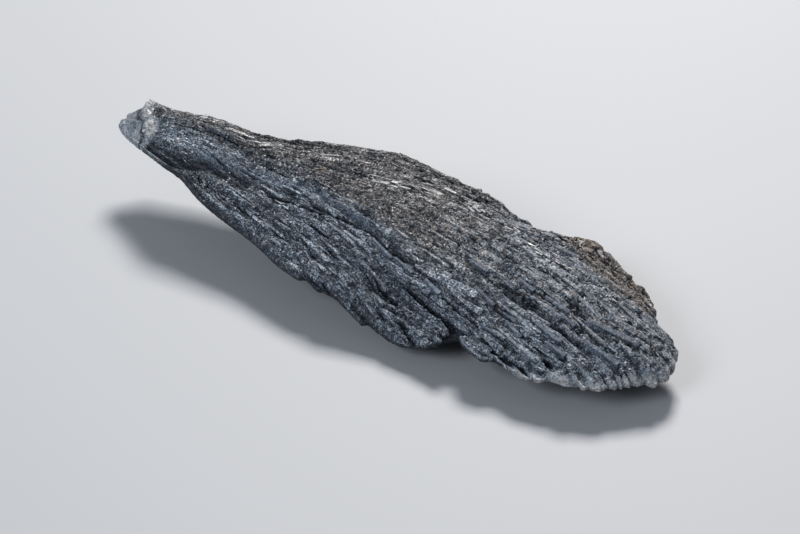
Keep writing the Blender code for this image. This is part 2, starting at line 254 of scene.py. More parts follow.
# bundles and fibres inside the ridges, and where they break
bundles = {
    "counts": (110, 300),  # across the whole spray, coarse to fine
    "lobes": 30,  # the broad fingers that end in the rim
    "lobeHeight": 0.4, "lobeReach": 1.3,
    "heights": (0.06, 0.03),
    "outlineStep": 0.16,
    "notch": 0.5, "crumb": 0.2,  # how deep gaps between fingers, and crumbs at the back, bite into the rim
    "bay": (12.9, -11.8, 0.9),  # x, y and depth of the bay in the front rim
    "gapDepth": 0.35, "gapReach": 2.2,  # and the groove they leave on the top
    "softRim": 0.35,
}


lobeLevel = 2  # the counts come first


def share(place):  # 0 front to 1 back, in even steps of ridges
    return np.interp(place, knots[0], np.linspace(0, 1, len(knots[0])))


def partition(count):
    return np.concatenate([[0], np.cumsum(dice.dirichlet(np.full(count, 5.0)))])


cells = [partition(count) for count in (*bundles["counts"], bundles["lobes"])]
cellPhase = [dice.uniform(0, 2 * np.pi, (2, count)) for count in bundles["counts"]]
cellRise = [dice.uniform(0.3, 1.0, count) for count in bundles["counts"]]


def cellOf(s, level):
    edges = cells[level]
    k = np.clip(np.searchsorted(edges, s) - 1, 0, len(edges) - 2)
    return k, (s - edges[k]) / (edges[k + 1] - edges[k])


def offMiddle(place):  # 0 in the middle of a finger, 1 between two
    return np.abs(2 * cellOf(share(place), lobeLevel)[1] - 1)


def crown(u):  # a rounded back, from 0 on one side to 1 on the other
    return np.sqrt(np.maximum(1 - (2 * u - 1) ** 2, 0)) - 0.75


def rods(place, x, toRim):  # rounded backs of the bundles and fibres
    s, total = share(place), 0
    for level, height in enumerate(bundles["heights"]):
        k, u = cellOf(s, level)
        swell = 0.55 + 0.45 * np.sin(x / (3.1 - level) + cellPhase[level][0][k])
        swell = swell * np.interp(x, (0, 16), (1, 0.3))
        total = total + height * cellRise[level][k] * swell * crown(u)
    fingers = bundles["lobeHeight"] * np.exp(-toRim / bundles["lobeReach"]) * unit((x + 4) / 10)
    return (total + fingers * crown(cellOf(s, lobeLevel)[1])) * roomAt(place, x)


def finePoints(points):
    fine = []
    for a, b in zip(points, np.roll(points, -1, axis=0)):
        count = max(2, round(math.dist(a, b) / bundles["outlineStep"]))
        fine += [a + (b - a) * t for t in np.arange(count) / count]
    return np.array(fine)


def notchedOutline():
    points = finePoints(rim[:, :2])
    ahead = np.roll(points, -2, axis=0) - np.roll(points, 2, axis=0)
    inwards = np.stack([-ahead[:, 1], ahead[:, 0]], -1) / np.linalg.norm(ahead, axis=1)[:, None]
    x = points[:, 0]
    k, u = cellOf(share(placeOf(x, points[:, 1])), lobeLevel)
    bite = np.abs(2 * u - 1) ** 3 * (0.6 + 0.4 * cellRise[0][k]) + 0.06 * dice.uniform(0, 1, len(x))
    depth = bundles["notch"] * bite * np.interp(x, (-33, -24, 0, 12, 25), (0.05, 0.1, 0.3, 0.8, 1.0))
    crumbs = np.abs(np.convolve(dice.normal(0, 1, len(x)), np.full(5, 0.45), mode="same"))
    crumbs = bundles["crumb"] * crumbs * (points[:, 1] > -1)
    depth = depth + crumbs * np.interp(x, (-22, -12, 18, 26), (0.1, 1, 1, 0.4))
    bayX, bayY, bayDepth = bundles["bay"]
    bay = bayDepth * np.exp(-((x - bayX) ** 2 + (points[:, 1] - bayY) ** 2) / 0.5)
    return points + inwards * (depth + bay)[:, None]


outline = notchedOutline()
mapX, mapY = np.arange(-36, 37, 0.1), np.arange(-15, 11, 0.1)
rimMap = distanceInside(*np.meshgrid(mapX, mapY, indexing="ij"), outline)


def readGrid(grid, a, b, u, v):
    near = grid[a, b] * (1 - v) + grid[a, b + 1] * v
    return near * (1 - u) + (grid[a + 1, b] * (1 - v) + grid[a + 1, b + 1] * v) * u


def toRimAt(x, y):  # distance in from the rim, read off the map
    i, j = np.clip((x - mapX[0]) * 10, 0, len(mapX) - 2), np.clip((y - mapY[0]) * 10, 0, len(mapY) - 2)
    a, b = i.astype(int), j.astype(int)
    return readGrid(rimMap, a, b, i - a, j - b)


# smooth strips: x and place along them, half width in millimetres
strips = {
    "blueBand": ([(-24, 0.225), (-20.5, 0.245), (-18, 0.285), (-15.4, 0.309), (-12.9, 0.339), (-8.7, 0.387),
                  (-4.9, 0.404), (-1.2, 0.410), (2.8, 0.428), (5.5, 0.436)], 0.5),
    "groove": ([(-28.3, 0.11), (-26.1, 0.085), (-24.5, 0.082), (-23.1, 0.095), (-22.2, 0.126), (-21.0, 0.155),
                (-20.2, 0.181), (-18.8, 0.205), (-17.2, 0.23), (-14.0, 0.25)], 0.85),
    "frost": ([(-27.5, 0.3), (-25.3, 0.262), (-23.7, 0.25), (-21.8, 0.245), (-20, 0.262), (-17.5, 0.3)], 0.9),
    "underBand": ([(-15.7, 0.262), (-12.8, 0.272), (-9.4, 0.295), (-4.8, 0.355), (-1, 0.375)], 0.4),
}


def onStrip(name, x, y):
    points, half = strips[name]
    across = np.abs(y - fibreY(lineAt(points, x), x)) / half
    ends = unit(np.minimum(x - points[0][0], points[-1][0] - x) / 1.5 + 0.3)
    return unit(1.5 - across) * ends


# smooth blue blades: where they start and end, half width
blueBlades = [
    (23.7, -5.5, 29.2, -5.2, 0.42), (24.9, -7.8, 28.7, -8.4, 0.36), (15.8, -4.4, 17.8, -4.9, 0.28),
    (19.0, -4.9, 22.0, -5.6, 0.25), (-22.2, -0.2, -20.3, -0.3, 0.28), (7.6, -8.0, 9.8, -8.9, 0.3),
    (12.6, -7.1, 15.3, -8.2, 0.25), (19.7, -8.1, 22.9, -9.0, 0.3), (17.0, -9.0, 19.2, -10.0, 0.24),
    (21.2, -6.1, 23.2, -6.8, 0.26), (21.5, -9.5, 24.0, -10.1, 0.28), (10.6, -4.8, 12.9, -5.2, 0.22),
    (0.5, -6.2, 3.4, -7.2, 0.24), (3.6, -7.0, 6.1, -7.8, 0.22),
]
bladeRise = 0.2  # the flats stand this far over the broad shape
bladeCorners = np.array(blueBlades).T
bladeEnds = [broadShape(*bladeCorners[k : k + 2], np.full(len(blueBlades), 2.0))[0] for k in (0, 2)]


def onBlades(x, y):  # how far each point lies on a blade, and the height of that blade's flat
    total, flat = np.zeros_like(x), np.zeros_like(x)
    for (startX, startY, endX, endY, half), startZ, endZ in zip(blueBlades, *bladeEnds):
        near = np.nonzero((x >= startX) & (x <= endX))[0]
        t = (x[near] - startX) / (endX - startX)
        tapered = 1.5 - np.abs(y[near] - startY - (endY - startY) * t) / half - 0.8 * t
        on = unit(tapered * 2)
        flat[near] = np.where(on > total[near], startZ + (endZ - startZ) * t, flat[near])
        total[near] = np.maximum(total[near], on)
    return total, flat


# cracks and grooves: place and x where they start and end, half width, depth
namedCracks = [
    (0.335, -7.4, 0.401, 1.2, 0.16, 0.75), (0.4, 2.9, 0.401, 5.2, 0.13, 0.5),
    (0.273, 3.1, 0.271, 6.2, 0.16, 0.7), (0.324, 6.1, 0.306, 14.4, 0.24, 1.0),
    (0.224, 6.4, 0.208, 9.6, 0.13, 0.5), (0.509, -5.1, 0.538, -4.2, 0.12, 0.3),
    (0.437, 5.3, 0.436, 7.5, 0.12, 0.4), (0.544, 28.3, 0.546, 29.6, 0.15, 0.6),
    (0.498, 24.1, 0.533, 29.4, 0.2, 0.9), (0.467, 16.7, 0.467, 19.2, 0.14, 0.5),
    (0.432, 19.7, 0.442, 22.4, 0.15, 0.6), (0.458, 21.2, 0.461, 24.6, 0.15, 0.6),
    (0.338, 15.6, 0.325, 20.4, 0.17, 0.8), (0.337, 19.3, 0.344, 22.3, 0.15, 0.6),
    (0.41, 20.6, 0.402, 24.2, 0.17, 0.8), (0.4, 21.8, 0.391, 24.2, 0.14, 0.6),
    (0.366, 9.8, 0.35, 15.2, 0.16, 0.7), (0.256, -6.4, 0.264, -3.5, 0.13, 0.5),
    (0.507, -22.2, 0.548, -17.8, 0.12, 0.35), (0.25, -12.7, 0.341, -4.8, 0.14, 0.4),
]
crackMaking = dict(count=230, length=(1.0, 5.0), halfWidth=(0.06, 0.12), depth=(0.1, 0.38), deeper=1.25)


def scatterCracks():
    found = []
    while len(found) < crackMaking["count"]:
        place, start = dice.uniform(0.03, 0.97), dice.uniform(-27, 32)
        keep = np.interp(start, (-27, -10, 10, 32), (0.15, 0.4, 0.7, 1)) * (1 if place < 0.55 else 0.55)
        length, half, depth = (dice.uniform(*crackMaking[name]) for name in ("length", "halfWidth", "depth"))
        drift = dice.normal(0, 0.004)
        if dice.uniform() < keep:
            found.append((place, start, place + drift, start + length, half, depth))
    return found


cracks = namedCracks + scatterCracks()


def crackDepth(place, x, y):
    total = np.zeros_like(x)
    for p0, x0, p1, x1, half, depth in cracks:
        beside = np.abs(place - (p0 + p1) / 2) < abs(p1 - p0) / 2 + 0.03
        near = np.nonzero((x > x0) & (x < x1) & beside)[0]
        t = (x[near] - x0) / (x1 - x0)
        across = np.abs(y[near] - fibreY(p0 + (p1 - p0) * t, x[near])) / half
        cut = crackMaking["deeper"] * depth * unit(1.3 - across) * np.sin(np.pi * t) ** 0.8
        total[near] = np.maximum(total[near], cut)
    return total


staggering = {
    "start": -37.0, "cell": 0.05, "cells": 1500,
    "levels": (  # columns, shortest and longest step, its height
        (45, (3, 10), 0.06), (95, (1.5, 6), 0.045), (240, (0.7, 3), 0.02), (24, (4, 12), 0.15),
    ),
    "shares": ((1, 1.1), (1, 0.3), (1, 0.1), (0, 1)),  # of each level towards the root and the spread end
}


def staggered(columns, span, height):  # columns that step where one length ends and the next starts
    field = np.zeros((columns, staggering["cells"]))
    x = np.arange(staggering["cells"]) * staggering["cell"]
    for row in field:
        ends = np.cumsum(dice.uniform(*span, 90)) - span[1] * dice.uniform(0, 1)
        k = np.searchsorted(ends, x)
        levels, tilts = dice.uniform(-1, 1, 91), dice.uniform(-0.3, 1, 91)
        starts = np.concatenate([[-span[1]], ends])
        row[:] = height * (levels[k] * 0.7 + tilts[k] * ((x - starts[k]) / (ends[k] - starts[k]) - 0.5))
    return field


topFields, underFields = ([staggered(*level) for level in staggering["levels"]] for _ in range(2))
raggedEnds = dice.uniform(-0.7, 0.7, bundles["counts"][1])


def steps(place, x, fields):
    s = share(place)
    ragged = x + raggedEnds[cellOf(s, 1)[0]]
    total = np.zeros_like(x)
    for field, shares in zip(fields, staggering["shares"]):
        column = s * len(field)
        j = np.clip(column.astype(int), 0, len(field) - 1)
        rounded = ragged + 0.8 * (2 * (column - j) - 1) ** 2
        i = ((rounded - staggering["start"]) / staggering["cell"]).astype(int)
        i = np.clip(i, 0, staggering["cells"] - 1)
        total += field[j, i] * np.interp(x, (0, 15), shares)
    return total * np.clip((x + 36) / 26, 0.25, 1)


def unevenness(sizes):
    return [(cell, dice.normal(0, height, (round(76 / cell), round(30 / cell)))) for cell, height in sizes]


lumpGrids = unevenness(((0.35, 0.045), (0.8, 0.06), (2.2, 0.045)))  # cell and height of the grainy surface
crumbGrids = unevenness(((0.45, 0.16), (0.9, 0.2)))


def lumps(x, y, grids=lumpGrids):
    total = 0
    for cell, grid in grids:
        i, j = (x + 37) / cell, (y + 16) / cell
        a, b = np.clip(i.astype(int), 0, grid.shape[0] - 2), np.clip(j.astype(int), 0, grid.shape[1] - 2)
        u, v = (3 * w**2 - 2 * w**3 for w in (unit(i - a), unit(j - b)))
        total = total + readGrid(grid, a, b, u, v)
    return total


# the crumbled strip along the back edge: x and how wide it is
crumbled = [(-21, 0.0), (-17, 3.0), (-13, 4.2), (-4, 6.2), (6, 6.0), (10, 5.5), (14, 4.2), (18, 0.0)]


def crumbling(x, y):
    width = lineAt(crumbled, x)
    inwards = np.maximum(rimSides(x, 1)[1] - y, 0)
    return np.exp(-((inwards / np.maximum(width, 0.01)) ** 4)) * unit(width)


# where blades end across the fibres: place and x of each turn, drop, how far it fades out
breaks = [
    ([(0.4, 23.6), (0.43, 23.5), (0.455, 22.7), (0.485, 23.4), (0.504, 22.3), (0.54, 21.6), (0.59, 20.6)],
     0.3, 2.5),
    ([(0.30, 15.0), (0.33, 15.8), (0.36, 15.2), (0.40, 17.6)], 0.25, 2.0),
    ([(0.24, 2.5), (0.27, 3.1), (0.30, 1.6), (0.33, 3.4)], 0.25, 2.0),
    ([(0.52, -17.5), (0.56, -18.6), (0.62, -19.6), (0.70, -19.0), (0.8, -18.5)], 0.2, 2.0),
]


def brokenOff(place, x):
    total = np.zeros_like(x)
    for turns, drop, fade in breaks:
        past = x - lineAt(turns, place) - 0.4 * raggedEnds[cellOf(share(place), 0)[0]]
        within = unit(np.minimum(place - turns[0][0], turns[-1][0] - place) / 0.01)
        total += drop * within * unit(past / 0.15) * np.exp(-np.maximum(past, 0) / fade)
    return total


# the raised crest at the root end: its two ends, its height along it and at its corner, the dip behind
tipFace = {"corners": ((-31.1, 1.8), (-28.4, -2.7)), "crest": (0.4, 0.55), "behind": 0.1}


def beyondTip(x, y):  # how far towards the end a point lies past the raised crest, and where along it
    a, b = (np.array(corner) for corner in tipFace["corners"])
    along = (b - a) / np.linalg.norm(b - a)
    t = ((x - a[0]) * along[0] + (y - a[1]) * along[1]) / np.linalg.norm(b - a)
    wave = 0.35 * np.sin(t * 5.5) + 0.12 * np.sin(t * 17)
    return (x - a[0]) * along[1] - (y - a[1]) * along[0] - wave, t


def tipRise(x, y):
    beyond, t = beyondTip(x, y)
    crest, corner = tipFace["crest"]
    rise = crest * unit((1.15 - t) * 3) * np.exp(-((beyond / np.where(beyond < 0, 0.5, 0.9)) ** 2))
    rise = rise + corner * np.exp(-((t / 0.3) ** 2) - (beyond / np.where(beyond < 0, 1.5, 0.25)) ** 2)
    behind = tipFace["behind"] * unit(-beyond / 0.5) * np.exp(np.minimum(beyond, 0) / 1.5)
    return (rise - behind) * (x < -24)


# the broken plates behind the terrace: middle, height, tilt
plateCount = 26
plateMiddles = dice.uniform((9, -1), (31, 9), (plateCount, 2))
plates = np.concatenate([plateMiddles, dice.normal(0, (0.16, 0.12, 0.12), (plateCount, 3))], axis=1)
plateSpan = (-0.4, 0.25)  # lowest and highest


def plateHeight(x, y):
    beyond = unit((y - lineAt(spray["terrace"], x)) / 0.4) * (x > spray["terrace"][0][0])
    nearest = np.argmin([(x - p[0]) ** 2 + (y - p[1]) ** 2 for p in plates], axis=0)
    chosen = plates[nearest]
    height = chosen[:, 2] + chosen[:, 3] * (x - chosen[:, 0]) + chosen[:, 4] * (y - chosen[:, 1])
    return beyond * np.clip(height, *plateSpan)


stripSmoothness = {"blueBand": 0.65, "groove": 1, "underBand": 0.5}


def smoothness(x, y):
    found = [onStrip(name, x, y) * amount for name, amount in stripSmoothness.items()]
    tip = np.clip((beyondTip(x, y)[0] - 0.2) / 0.3, 0, 0.6) * (x < -27)
    return np.maximum.reduce([*found, onBlades(x, y)[0], tip])


def placed(x, y, z):
    return np.stack([(x - centre[0]) * mm, (y - centre[1]) * mm, z * mm], -1)


surface = {
    "softBack": ((3, 6), (bundles["softRim"], 1.0)),  # y, and how far in the relief fades there
    "rougher": ((4, 18), (1, 1.8)),  # x, and how much the grain grows towards the spread end
    "underRelief": 0.6,
    "grooveDepth": 0.3,
    "crumbTop": 0.12,  # crumbs stay under this
}


def heights(place, x, y):  # top and belly of the stone at plan points
    toRim = toRimAt(x, y)
    top, low = broadShape(x, y, toRim)
    soft = np.clip(toRim / np.interp(y, *surface["softBack"]), 0.3, 1)
    rounded, stepped = rods(place, x, toRim), steps(place, x, topFields)
    gaps = bundles["gapDepth"] * offMiddle(place) ** 7 * np.exp(-toRim / bundles["gapReach"])
    gaps = gaps * roomAt(place, x) * unit((x + 12) / 20)
    lift = relief(place, x, topPhases, topBlades, spray["furrows"]) + stepped + rounded
    under = relief(place, x, underPhases, underBlades, []) * surface["underRelief"]
    under = under + steps(place, x, underFields) + rounded
    smooth = smoothness(x, y)
    rough = np.interp(x, *surface["rougher"]) * (1 - 0.6 * smooth)
    lift, under = lift + plateHeight(x, y) + lumps(x, y) * rough, under + lumps(x, -y)
    lift = lift - (stepped + rounded) * smooth * 0.9
    lift = lift - brokenOff(place, x) - gaps * (1 - smooth) - crackDepth(place, x, y)
    lift = lift - surface["grooveDepth"] * onStrip("groove", x, y)
    crumbTop = surface["crumbTop"]
    lift = lift + crumbling(x, y) * (np.minimum(lumps(x, y, crumbGrids), crumbTop) - crumbTop)
    top = top + lift * soft + tipRise(x, y) * unit(toRim / 0.3)
    on, flat = onBlades(x, y)
    return top + (flat + bladeRise - top) * on, low - under * soft


# the crystal

crystal = {
    "rows": 540, "strips": 5,  # across the sheet, and along it for each ridge
    "sheetX": (-34.0, 35.0),
    "grit": 0.035,
    "lowest": (0.1, 0.004), "thinnest": 0.05, "highest": 9.77,  # of the top and of the belly
    "kept": 0.58,  # share of all faces, the rest taken from the underside
    "flatAngle": 40,
}


def deselect():
    bpy.ops.object.select_all(action="DESELECT")


def only(obj):
    deselect()
    obj.select_set(True)
    bpy.context.view_layer.objects.active = obj


def applyAll(obj):
    only(obj)
    for name in [m.name for m in obj.modifiers]:
        bpy.ops.object.modifier_apply(modifier=name)


def turnOutwards():  # the faces of the active piece
    bpy.ops.object.mode_set(mode="EDIT")
    bpy.ops.mesh.select_all(action="SELECT")
    bpy.ops.mesh.normals_make_consistent(inside=False)
    bpy.ops.object.mode_set(mode="OBJECT")


def makeOutlineBlock():
    deselect()
    bpy.ops.mesh.primitive_circle_add(vertices=len(outline), radius=1, fill_type="NGON")
    block = bpy.context.object
    block.name = "outlineBlock"
    flat = placed(outline[:, 0], outline[:, 1], np.full(len(outline), -5.0))
    block.data.vertices.foreach_set("co", flat.ravel())
    bpy.ops.object.mode_set(mode="EDIT")
    bpy.ops.mesh.select_all(action="SELECT")
    bpy.ops.mesh.extrude_region_move(TRANSFORM_OT_translate={"value": (0, 0, 0.02)})
    bpy.ops.object.mode_set(mode="OBJECT")
    turnOutwards()
    return block


def coordinates(mesh, what="co"):
    flat = np.zeros(len(mesh.vertices) * 3)
    mesh.vertices.foreach_get(what, flat)
    return flat.reshape(-1, 3)


def makeCrystal():
    ridgeCount = spray["ridges"]
    deselect()
    bpy.ops.mesh.primitive_grid_add(
        x_subdivisions=crystal["rows"], y_subdivisions=ridgeCount * crystal["strips"], size=2
    )
    body = bpy.context.object
    body.name = "taramiteSpray"
    thick = body.modifiers.new("thickness", "SOLIDIFY")
    thick.thickness, thick.offset = 0.5, -1
    applyAll(body)
    half = len(body.data.vertices) // 2  # the first half is the top
    sheet = coordinates(body.data)[:half]
    x = np.interp(sheet[:, 0], (-1, 1), crystal["sheetX"])
    place = np.interp((sheet[:, 1] + 1) / 2 * ridgeCount, np.arange(ridgeCount + 1), knots[0])
    y = fibreY(place, x)
    top, low = heights(place, x, y)
    top, low = (z + dice.normal(0, crystal["grit"], half) for z in (top, low))
    lowestTop, lowestBelly = crystal["lowest"]
    top = np.clip(top, lowestTop, crystal["highest"])
    low = np.clip(low, lowestBelly, top - crystal["thinnest"])
    points = np.concatenate([placed(x, y, top), placed(x, y, low)])
    body.data.vertices.foreach_set("co", points.ravel())
    cut = body.modifiers.new("outline", "BOOLEAN")
    cut.object, cut.operation, cut.solver = makeOutlineBlock(), "INTERSECT", "EXACT"
    applyAll(body)
    bpy.data.objects.remove(bpy.data.objects["outlineBlock"])
    print("trimmed", len(body.data.polygons))
    return body


def thinUnderside(body):
    below = np.nonzero(coordinates(body.data, "normal")[:, 2] < -0.35)[0]
    group = body.vertex_groups.new(name="underside")
    group.add([int(i) for i in below], 1.0, "REPLACE")
    thin = body.modifiers.new("thin", "DECIMATE")
    thin.ratio = crystal["kept"]
    thin.vertex_group = "underside"
    applyAll(body)
    body.vertex_groups.clear()
    points = coordinates(body.data)
    points[:, 2] = np.maximum(points[:, 2], 0)
    body.data.vertices.foreach_set("co", points.ravel())
    body.data.calc_loop_triangles()
    print("crystal triangles", len(body.data.loop_triangles))


body = makeCrystal()
thinUnderside(body)
only(body)
bpy.ops.object.shade_smooth_by_angle(angle=math.radians(crystal["flatAngle"]))

# where the stone is warm, pale or rusty, and where shade and highlights are painted, kept on the mesh for the
# finish

zones = {
    "warmLine": [
        (-34, 0.5), (-28, 0.2), (-20, -0.6), (-10.4, -2), (0, -4.2), (7.2, -6.4), (15.4, -7.2), (23.8, -6.9),
        (33, -6),
    ],
    "ochreLine": [(14, 4.8), (18, 2.5), (20, 1.5), (22, 0.6), (25, -0.2), (28, -0.8)],
    # soft patches: x, y, reach along and across, amount
    "rusty": [
        (17.5, 7, 3.5, 3.5, 1), (24, 3.6, 2.6, 2.6, 1), (-8.7, -0.9, 0.6, 0.6, 1), (15.5, -7.7, 0.4, 0.4, 1),
    ],
    "paler": [
        (2.5, 0.8, 8, 3.2, 0.14), (-17.0, 1.2, 6, 1.8, -0.28), (-6, 3, 6, 3, -0.18),
        (18, -0.5, 5, 3, 0.06), (-5, -8, 6, 2, -0.05), (24, -0.5, 4, 2, 0.1),
        (-23, -5.6, 4.5, 1.3, -0.25), (28, -10, 4, 1.5, 0.3), (25.5, -7, 2.5, 1.5, -0.15),
        (18, -8.3, 4, 2, -0.14), (-23.5, -6.3, 4, 0.9, -0.45), (-18, -6.9, 4.5, 1.3, -0.45),
        (21.5, -9.5, 2.5, 1.2, -0.15), (-2, -1, 10, 3, 0.08), (25, -3, 5, 4, 0.08), (20, -2, 4, 2, 0.1),
        (-14, 3, 4, 2, -0.2), (-3, 0.4, 1.5, 0.8, -0.15), (7, 3, 3, 1.5, -0.15),
        (14, 1.5, 1.5, 1, -0.15), (6.1, 4.1, 2.2, 1.2, -0.3), (-5.3, 0.2, 2, 0.9, -0.25),
        (-8, -1.3, 2, 0.8, -0.2), (-15.5, 3, 4, 1.3, -0.2), (-5, -8, 4, 1.2, -0.1),
        (-14, -7.5, 3, 1.2, -0.15), (-9, 0.5, 3, 1.5, -0.1), (-28.5, -4, 1.5, 0.8, -0.3),
        (13, -3, 3, 2, 0.08),
    ],
    "duller": [
        (-17.5, 2.6, 3.5, 1.2, 0.7), (-13.5, 3.4, 3.0, 1.4, 0.5), (-5.3, 0.2, 1.8, 0.9, 0.7),
        (-8.0, -1.3, 1.8, 0.8, 0.6), (6.1, 4.1, 2.0, 1.2, 0.8), (7.9, 1.0, 1.6, 0.8, 0.5),
        (-19.3, -5.9, 3.5, 1.1, 0.8), (-27.6, -4.6, 1.5, 0.8, 0.35), (14.0, 2.1, 1.5, 0.8, 0.2),
        (-5.0, -8.0, 4.0, 1.2, 0.3), (-1.0, -6.5, 2.5, 0.8, 0.3), (6.5, -11.0, 2.5, 1.0, 0.35),
        (19.0, -9.8, 3.0, 1.0, 0.35),
    ],
}


def patches(x, y, rows):
    return sum(k * np.exp(-(((x - a) / p) ** 2) - ((y - b) / q) ** 2) for a, b, p, q, k in rows)


def heightAbove(x, y, z, counted, reach=0.6, cell=0.15):  # over the counted points around each one
    i, j = ((x + 36) / cell).astype(int), ((y + 16) / cell).astype(int)
    wide = round(reach / cell)
    sums = []
    for values in (z, np.ones(len(z))):
        total = np.zeros((480, 220))
        np.add.at(total, (i[counted], j[counted]), values[counted])
        for axis in (0, 1):
            total = sum(np.roll(total, k, axis) for k in range(-wide, wide + 1))
        sums.append(total[i, j])
    return z - sums[0] / np.maximum(sums[1], 1)


def store(piece, name, *columns):
    kind, key = ("FLOAT_COLOR", "color") if len(columns) == 4 else ("FLOAT_VECTOR", "vector")
    layer = piece.data.attributes.new(name, kind, "POINT")
    layer.data.foreach_set(key, np.stack(columns, -1).astype(np.float32).ravel())


def storeZones(piece, tone=0.5):
    x, y, z = (coordinates(piece.data) / mm + (*centre, 0)).T
    onTop = coordinates(piece.data, "normal")[:, 2] > 0
    place, toRim = placeOf(x, y), toRimAt(x, y)
    counted = onTop if np.isscalar(tone) else np.full(len(x), True)
    proud = heightAbove(x, y, np.where(onTop, z, 0), counted)
    # warmer behind the line: partly the stone's brownish tone, partly painted warm light on the back and top
    warm = unit((y - lineAt(zones["warmLine"], x)) / 2.5 + 0.5) * np.interp(x, (4, 14), (1, 0.35))
    # painted highlight along the rim, stronger at the finger ends of the front rim past x 8
    edge = unit(1 - toRim / np.interp(x, (-8, 8), (0.2, 0.35)))
    edge = edge * np.interp(x, (-33, -20, 5), (0.5, 0.4, 0.6))
    finger = 1 - offMiddle(place)
    ends = 0.6 * finger * unit(1.3 - toRim / 0.7)
    edge = edge + ends * np.interp(x, (8, 18), (0, 1)) * (y < -6)
    beyond, t = beyondTip(x, y)
    crust = 1.4 * np.exp(-((beyond / 0.5) ** 2)) * unit(1.6 - np.abs(2 * t - 1)) * (x < -26)
    tip = unit((beyond - 0.9) / 0.4) * (x < -27)
    frost = onStrip("frost", x, y) * onTop
    # painted shade in the cracks: the deeper a crack, the darker its colour and the weaker its shine
    crackShade = crackDepth(place, x, y) * onTop
    crumbs, crumbLumps = crumbling(x, y) * onTop, lumps(x, y, crumbGrids)
    # painted shade in the hollows between the crumbs; the crumbled strip as a whole is also painted darker
    shadedPits = crumbs * unit(-crumbLumps / 0.2)
    pale = 0.5 + proud / 0.4 + edge + tip * 0.2 - crackShade * 1.4 + frost * 0.15 - 0.26 * crumbs - 0.3 * shadedPits
    pale = pale + patches(x, y, zones["paler"])
    white = np.maximum(1.1 * crust, 0.35 * tip) * (0.5 + unit(0.5 + 3 * crumbLumps))
    # painted highlight: near white at the finger ends of the front rim past x 18
    paintedRimHighlight = 0.75 * np.sqrt(finger) * unit(1.2 - toRim / 0.5)
    white = np.maximum(white, paintedRimHighlight * np.interp(x, (18, 23), (0, 1)) * (y < -3))
    pale = np.where(white > 0.1, 1 + white, unit(pale))
    ochre = unit((y - lineAt(zones["ochreLine"], x)) / 0.4)
    plate = ochre * np.interp(x, (12, 16, 27, 28), (0, 1, 1, 0)) * onTop
    warm, rust = np.maximum(warm, plate), np.maximum(patches(x, y, zones["rusty"]), 0.5 * plate)
    onBlade = onBlades(x, y)[0]
    smooth = np.maximum(smoothness(x, y), np.interp(x, (8, 22), (0, 0.3))) * onTop
    blue = np.maximum.reduce([onStrip("blueBand", x, y), tip * 0.4, frost * 0.6, onBlade]) * onTop
    # painted shade in the groove; the band under the blue band is darker too
    dark = np.maximum(onStrip("groove", x, y), 0.6 * onStrip("underBand", x, y))
    # underneath, painted shade: the colour darkens away from the rim
    dark = np.where(onTop, dark, 0.5 * unit(toRim / 0.8 - 0.4))
    # painted shade: cracks and the hollows between crumbs go darkest
    dark = np.maximum.reduce([dark, 1.4 * unit(crackShade / 0.28), 1.1 * shadedPits, 0.5 * crumbs])
    dark = dark + patches(x, y, zones["duller"]) * onTop
    blade = np.where(tone < 0, 1, onBlade * onTop)
    pale, dark = np.where(blade > 0.5, 0.55, pale), dark * (1 - blade)
    smooth = np.where(blade > 0.2, 0.35, smooth)
    nearTip = 0.4 * unit(-beyond) * np.exp(-(((x + 28) / 3) ** 2))
    store(piece, "marks", smooth, blue, dark, np.maximum(frost, 0.5 * tip + nearTip))
    store(piece, "zones", warm, pale, unit(rust), np.full_like(x, tone))
    spread = np.interp(x, (-33, -20, -5, 12), (0, 0.3, 0.7, 1))
    store(piece, "fibre", place * 24 + np.where(onTop, 0, 40), x, spread)


storeZones(body)
print("zones stored")

# loose fibre ends, blades and grains lying in the surface: each shape made once, then copied

# along: x and how likely a piece is there, sides: in front of the warm line and behind it
splinters = dict(length=(0.2, 1.3), width=(0.05, 0.14), height=(0.05, 0.14), roll=0.6, sunk=0.3, stray=0.22)
frontFibres = dict(splinters, count=13000, tone=(0.1, 0.9), along=((0, 1), (18, 0.35)), sides=(1, 0))
backFibres = dict(splinters, count=12500, tone=(0.1, 0.9), along=((0, 1), (18, 0.35)), sides=(0, 1))
undersideFibres = dict(splinters, count=9000, tone=(0, 1), along=((0, 1), (1, 1)), sides=(1, 1), under=1)
chips = dict(
    length=(0.1, 0.45), width=(0.05, 0.15), height=(0.06, 0.16), roll=0.9, sunk=0.25, stray=1,
    count=26000, tone=(0, 1), along=((-12, 1), (5, 0.8), (33, 0.75)), sides=(1, 1),
)
blades = dict(
    length=(1.2, 5), width=(0.15, 0.48), height=(0.22, 0.46), roll=0.25, sunk=0.4, stray=0.03,
    count=520, tone=(0.25, 0.55), along=((-25, 0.15), (-8, 0.4), (12, 0.8), (30, 1)), sides=(1, 0.4),
)
grains = dict(
    length=(0.1, 0.26), width=(0.05, 0.11), height=(0.05, 0.1), roll=0.8, sunk=0.1, stray=0.8,
    count=10000, tone=(0.5, 1.04), along=((0, 0.25), (1, 0.25)), sides=(1, 1),
    more=[(-23, -2.6, 5, 1.6, 0.75)],  # a patch of them near the groove
)
blueFaces = dict(width=(1, 1), height=(0.6, 0.8), roll=0.1, sunk=0.6, tone=(-0.3, -0.2), raised=0.04)
glintFlakes = dict(width=(1, 1), height=(0.5, 0.9), roll=0.35, sunk=0.6, tone=(1.02, 1.25), raised=0.07)
placing = {  # the second of each pair is for the underside
    "rise": (0.6, 0.3), "slope": (1.6, 0.7),  # steepest along a piece and across it
    "rim": (0.35, 0.12, 0.9),  # nearest to the front rim, to the back rim and to either underneath
    "lowest": 0.25,  # on the underside
}


def linked(name, data):
    obj = bpy.data.objects.new(name, data)
    bpy.context.scene.collection.objects.link(obj)
    return obj


